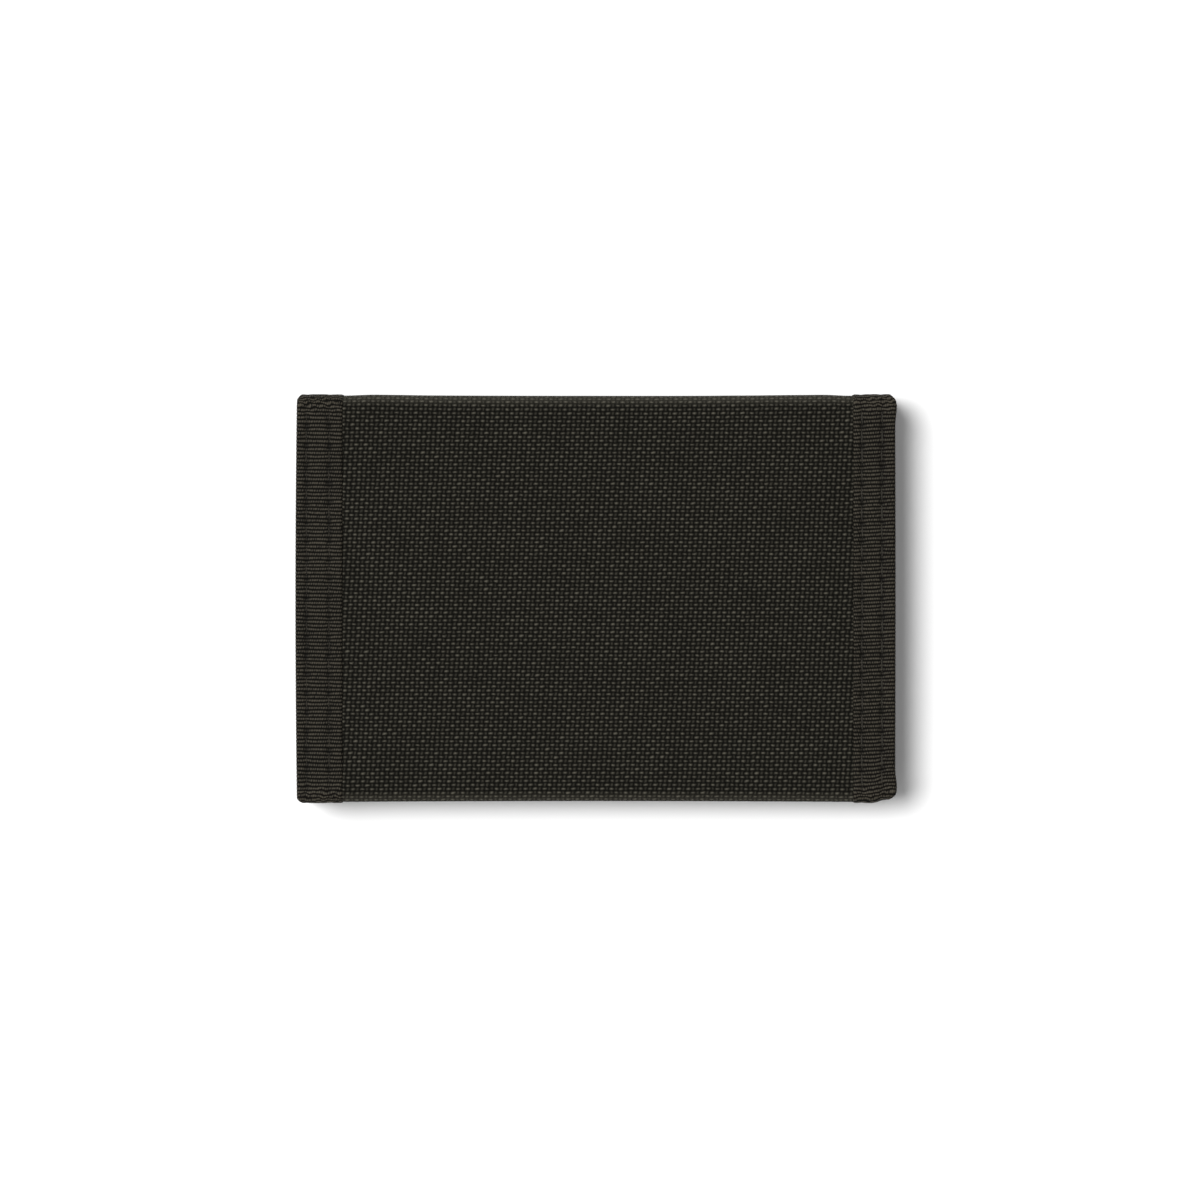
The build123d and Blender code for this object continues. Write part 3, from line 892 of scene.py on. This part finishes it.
def make_coin_pocket():
    """The zipped pocket: its lining, and a face in two parts with turned edges beside the zip."""
    lining_node = "coin_pocket_lining"
    lower, upper = "coin_pocket_face_lower", "coin_pocket_face_upper"
    top_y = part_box(upper)[1].y / MM
    box = (-SIDE_X, SIDE_X, EDGE_Y, top_y, level(node_middle(lining_node, "front")))
    piece = make_sheet("coin_lining", "front", box, 0.13, lining_cloth, (), 0.02)
    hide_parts(lining_node)
    height = node_middle(lower, "front") - 0.1
    slot_low, slot_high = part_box(lower)[1].y / MM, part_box(upper)[0].y / MM
    under_hem = level(height, dip=0.55, dip_y=HEM_Y + 3)
    make_pocket_sheet("coin_face_lower", "front", lower, UNDER_HEM_Y, slot_low, under_hem,
                      ((slot_low, COIN_LOWER_HEM),), 0.30)
    brought_down = level(height, drop=0.75, drop_y=top_y - 3.2)
    make_pocket_sheet("coin_face_upper", "front", upper, slot_high, top_y, brought_down,
                      ((slot_high, COIN_UPPER_HEM),), 0.30)
    on_top = height + 0.41
    sew("stitches_coin_pocket", "front", [
        across_row(slot_low - 1.3, on_top),
        across_row(slot_low - 5.4, on_top),
        across_row(slot_high + 1.3, on_top),
        across_row(top_y - 0.9, height - 0.56),
    ])


def make_card_pockets():
    """Three stepped pockets, each a sheet with a turned and stitched opening edge."""
    rows = []
    for number in (1, 2, 3):
        node = f"card_pocket_{number}"
        top_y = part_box(node)[1].y / MM
        height = node_middle(node, "rear") - 0.09
        under_hem = level(height, dip=0.22 * (number - 1), dip_y=HEM_Y + 3)
        make_pocket_sheet(f"pocket_{number}", "rear", node, UNDER_HEM_Y, top_y, under_hem,
                          ((top_y, CARD_HEM),), 0.22)
        for inset in (1.4, CARD_HEM - 0.6):
            rows.append(across_row(top_y - inset, height + 0.35))
    sew("stitches_card_pockets", "rear", rows)


def make_zip():
    """The zip's tapes; its hard parts keep their CAD shapes."""
    for part in ("lower", "upper"):
        node = f"zip_tape_{part}"
        low, high = (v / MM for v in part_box(node))
        box = (low.x, high.x, low.y, high.y, level((low.z + high.z) / 2))
        piece = make_sheet(f"zip_cloth_{part}", "front", box, 0.22, zip_cloth, (), 0.0)
        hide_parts(node)
    for node, material, bevel in (
        ("zip_teeth_lower", zip_plastic, 0.12), ("zip_teeth_upper", zip_plastic, 0.12),
        ("zip_stops", zip_metal, 0.15), ("zip_slider", zip_metal, 0.10), ("zip_pull", zip_metal, 0.14),
    ):
        keep_node(node, material, bevel)


def keep_node(name, material, bevel):
    """A CAD node that stays as it is, with softened edges and a finished material."""
    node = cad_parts[name]
    for slot in node.material_slots:
        slot.material = material
    soften = node.modifiers.new("soften", "BEVEL")
    soften.width = bevel * MM
    soften.segments = 2
    soften.limit_method = "ANGLE"
    soften.harden_normals = False


# ---------- hook and loop strips

STRIP_EDGE = 0.3
STRIP_SUNK = 0.12  # how far a strip's base sinks into the cloth under it
HOOK_BASE, LOOP_BASE = 0.55, 0.45
LOOPS = 900


def add_wire(bundle, centres, radius):
    """One hook's or loop's thin filament."""
    points, faces = thread_tube(centres, np.full(len(centres), radius), 5)
    bundle.add(points, faces, points * (1.0, 1.0, 0.0))


def strip_base(bundle, low, high, base, top):
    """The strip's woven base, a thin slab with rounded edges.

    top gives its upper side's height from x, y and the distance from its edge.
    """
    rows = edge_rows(low.y, high.y, 0.8, STRIP_EDGE)
    columns = edge_rows(low.x, high.x, 0.9, STRIP_EDGE)
    y, x = np.meshgrid(rows, columns, indexing="ij")
    near = np.minimum(np.minimum(y - low.y, high.y - y), np.minimum(x - low.x, high.x - x))
    round_off = edge_round(near, STRIP_EDGE)
    upper = np.stack([x, y, base + (top(x, y, near) - base) * round_off], -1)
    lower = np.stack([x, y, base + 0 * y], -1)
    cloth = np.stack([x, y, 0 * y], -1)
    bundle.add_slab(upper, lower, cloth)


def strip_box(node, half):
    """A closure strip's lowest and highest corners, as heights inwards from its half's outer face."""
    low, high = (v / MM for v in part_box(node))
    if half == "rear":
        low.z, high.z = THICKNESS - high.z, THICKNESS - low.z
    return low, high


def make_hook_strip():
    """Rows of small bent nylon hooks on a thin base."""
    low, high = strip_box("hook_strip", "front")
    base = low.z - STRIP_SUNK
    bundle = Bundle()
    strip_base(bundle, low, high, base, lambda x, y, near: base + HOOK_BASE + 0 * x)
    bend = np.array([(0, 0), (0, 0.35), (0.02, 0.62), (0.14, 0.84), (0.33, 0.88), (0.46, 0.72)])
    wide, deep = high.x - low.x - 3.2, high.y - low.y - 3.0
    count_x, count_y = int(wide / 1.45), int(deep / 1.15)
    for j in range(count_y + 1):
        for i in range(count_x + 1):
            x = low.x + 1.6 + i * wide / count_x + 0.2 * (j % 2)
            y = low.y + 1.5 + j * deep / count_y
            way = 1 if j % 2 else -1
            centres = np.stack([x + way * bend[:, 0], y + 0 * bend[:, 0], base + 0.5 + bend[:, 1]], -1)
            add_wire(bundle, centres, 0.10)
    piece = bundle.piece("hooks", "front")
    give(piece, hook_nylon)
    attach(piece, "front_half")
    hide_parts("hook_strip")
    return low, high, base + HOOK_BASE


def make_loop_strip():
    """A napped pile with many small loose loops."""
    low, high = strip_box("loop_strip", "rear")
    base = low.z - STRIP_SUNK
    random = np.random.default_rng(42)
    lumps_small = waves(31, 10, 0.9, 2.2)

    def nap(x, y, near):
        pile = smooth_step((near - 1.3) / 0.5)
        return base + LOOP_BASE + pile * (0.62 + 0.11 * lumps_small(x, y))

    bundle = Bundle()
    strip_base(bundle, low, high, base, nap)
    turn = np.linspace(0, math.pi, 7)
    for _ in range(LOOPS):
        x = random.uniform(low.x + 1.9, high.x - 1.9)
        y = random.uniform(low.y + 1.8, high.y - 1.8)
        heading, size = random.uniform(0, math.tau), random.uniform(0.22, 0.42)
        lean = random.uniform(-0.25, 0.25)
        centres = np.stack([
            x + size * np.cos(turn) * math.cos(heading) - lean * np.sin(turn) * math.sin(heading),
            y + size * np.cos(turn) * math.sin(heading) + lean * np.sin(turn) * math.cos(heading),
            base + 0.92 + 0.62 * np.sin(turn),
        ], -1)
        add_wire(bundle, centres, 0.05)
    piece = bundle.piece("loops", "rear")
    give(piece, loop_pile)
    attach(piece, "rear_half")
    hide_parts("loop_strip")
    return low, high, base + LOOP_BASE


# ---------- pieces

EDGE_TOP = TAPE_TOP - EDGE_RADIUS
EDGE_TURN = EDGE_RADIUS * math.pi / 2
inner_path = Path([
    ("line", BOUND_Y, TAPE_TOP, -1, 0, BOUND_Y - EDGE_Y),
    ("arc", EDGE_Y, EDGE_TOP, EDGE_RADIUS, math.pi / 2, EDGE_TURN),
    ("line", FREE_Y, EDGE_TOP, 0, -1, EDGE_TOP - PANEL_TAPE_LOW),
])
outer_path = half_path(TAPE_TOP, hem=False)
STRAIGHT_LENGTH = inner_path.steps[1][0]  # the left inner tapes stop where the edge turns
OUTER_TAPE_TOP = LINING_TOP + TAPE  # inner side of the right-hand tape on the outer cloth
FREE_EDGE_START = EDGE_TURN + EDGE_TOP - OUTER_TAPE_TOP


def same_depth(depth):
    """An inner leg that lies at one depth all along."""
    return lambda s, length: depth


def right_depth(s, length):
    """The right outer tape takes in the board and lining, then only the cloths round the fold."""
    mix = float(smooth_step((s - (length - 12.5)) / 3.5))
    return OUTER_TAPE_TOP * (1 - mix) + FOLD_TAPE_DEPTH * mix


def sew_tape(name, half, path, rows, start, stop, material, depth):
    """A binding's rows of stitches as one piece."""
    random = np.random.default_rng(len(name) + len(half))
    bundle = Bundle()
    for row in rows:
        add_tape_row(bundle, path, row, start, stop, random, depth)
    piece = bundle.piece(name, half)
    give(piece, material)
    return piece


def bind(half):
    """A half's four lengths of binding tape: two bend round the fold, two stay on the half."""
    piece = make_tape(f"binding_left_{half}_outside", half, -1, outer_path,
                      same_depth(FOLD_TAPE_DEPTH), low_bend=0.1)
    fold_blend(piece)
    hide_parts(f"binding_left_{half}", "binding_left_spine")

    depth = TAPE_TOP - EDGE_TAPE_DEPTH
    piece = make_tape(f"binding_left_{half}_inside", half, -1, inner_path, same_depth(depth),
                      low_reach=0.02, last=STRAIGHT_LENGTH)
    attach(piece, half + "_half")
    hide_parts(f"binding_left_{half}")

    piece = make_tape(f"binding_right_{half}_tape", half, 1, outer_path, right_depth,
                      first=FREE_EDGE_START)
    fold_blend(piece)
    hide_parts(f"binding_right_{half}", "binding_right_spine")

    depth = TAPE_TOP - PANEL_TAPE_LOW
    piece = make_tape(f"binding_panel_{half}_tape", half, 1, inner_path, same_depth(depth))
    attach(piece, half + "_half")
    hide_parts(f"binding_panel_{half}")


def sew_bindings(half):
    """Two rows of stitches along each binding, outside and inside."""
    # The left rows get the darker thread as painted shade for their deeper grooves.
    left, right = (LEFT_ROWS, shaded_thread, 0.2), (RIGHT_ROWS, thread, 0.15)
    for side, (rows, material, depth) in (("left", left), ("right", right)):
        name = f"stitches_{side}_{half}"
        piece = sew_tape(name, half, outer_path, rows, 4.5, outer_path.length - 3.0, material, depth)
        fold_blend(piece)
        piece = sew_tape(name + "_inside", half, inner_path, rows, 1.5, STRAIGHT_LENGTH - 1.0,
                         material, depth)
        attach(piece, half + "_half")


for half in ("front", "rear"):
    piece, cut_length = make_canvas(half)
    give(piece, canvas)
    fold_blend(piece)
    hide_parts(f"{half}_shell", "spine_shell")
    bind(half)
    sew_bindings(half)
    make_lining(half)
    make_panel(half)
    sew(f"stitches_hem_{half}", half, [across_row(HEM_Y - 1.2, STACK_TOP - 0.05)])
    keep_node(f"{half}_stiffener", board, 0.1)

make_coin_pocket()
make_card_pockets()
make_zip()
for maker, half in ((make_hook_strip, "front"), (make_loop_strip, "rear")):
    low, high, top = maker()
    left, right, near, far = low.x + 1.0, high.x - 1.0, low.y + 0.9, high.y - 0.9
    sew("stitches_closure_" + half, half, [
        ((left, near, top), (right, near, top)), ((left, far, top), (right, far, top)),
        ((left, near, top), (left, far, top)), ((right, near, top), (right, far, top)),
    ])


# ---------- set

def make_floor():
    """The plain white ground."""
    g = Graph("floor")
    g.shader.inputs["Base Color"].default_value = (0.93, 0.93, 0.93, 1)
    g.shader.inputs["Roughness"].default_value = 0.9
    g.shader.inputs["Specular IOR Level"].default_value = 0.1
    reach = 3000.0
    corners = [(x * reach, y * reach, 0) for x, y in ((-1, -1), (1, -1), (1, 1), (-1, 1))]
    floor = mesh_object("floor", corners, [(0, 1, 2, 3)])
    floor.data.materials.append(g.material)


def make_sun(strength, lean_left, lean_back, wide):
    """The large soft lamp overhead, leaning a little to the left and to the back."""
    data = bpy.data.lights.new("softbox", "SUN")
    data.energy = strength
    data.angle = math.radians(wide)
    lamp = bpy.data.objects.new("softbox", data)
    direction = Vector((math.tan(math.radians(lean_left)), -math.tan(math.radians(lean_back)), -1))
    lamp.rotation_mode = "QUATERNION"
    lamp.rotation_quaternion = direction.to_track_quat("-Z", "Y")
    bpy.context.scene.collection.objects.link(lamp)


def make_world(strength):
    """Even white light of this strength, which the camera sees as plain white."""
    world = bpy.data.worlds.new("studio")
    world.use_nodes = True
    tree = world.node_tree
    background = tree.nodes["Background"]
    background.inputs["Color"].default_value = (1, 1, 1, 1)
    seen = tree.nodes.new("ShaderNodeLightPath").outputs["Is Camera Ray"]
    bright = tree.nodes.new("ShaderNodeMath")
    bright.operation = "MAXIMUM"
    bright.inputs[1].default_value = strength
    tree.links.new(seen, bright.inputs[0])
    tree.links.new(bright.outputs[0], background.inputs["Strength"])
    bpy.context.scene.world = world


def make_camera():
    """Straight above, with the frame 240 mm wide at the wallet's upper face."""
    data = bpy.data.cameras.new("camera")
    data.lens = 110
    data.sensor_width = 36
    frame_width = 0.240
    height = frame_width * data.lens / data.sensor_width
    camera = bpy.data.objects.new("camera", data)
    camera.location = (0.0007, -0.0003, cad_high.z + height)
    bpy.context.scene.collection.objects.link(camera)
    bpy.context.scene.camera = camera


make_floor()
make_world(strength=0.36)
make_sun(strength=3.55, lean_left=28, lean_back=11, wide=34)
make_camera()
bpy.context.scene.view_settings.view_transform = "Standard"
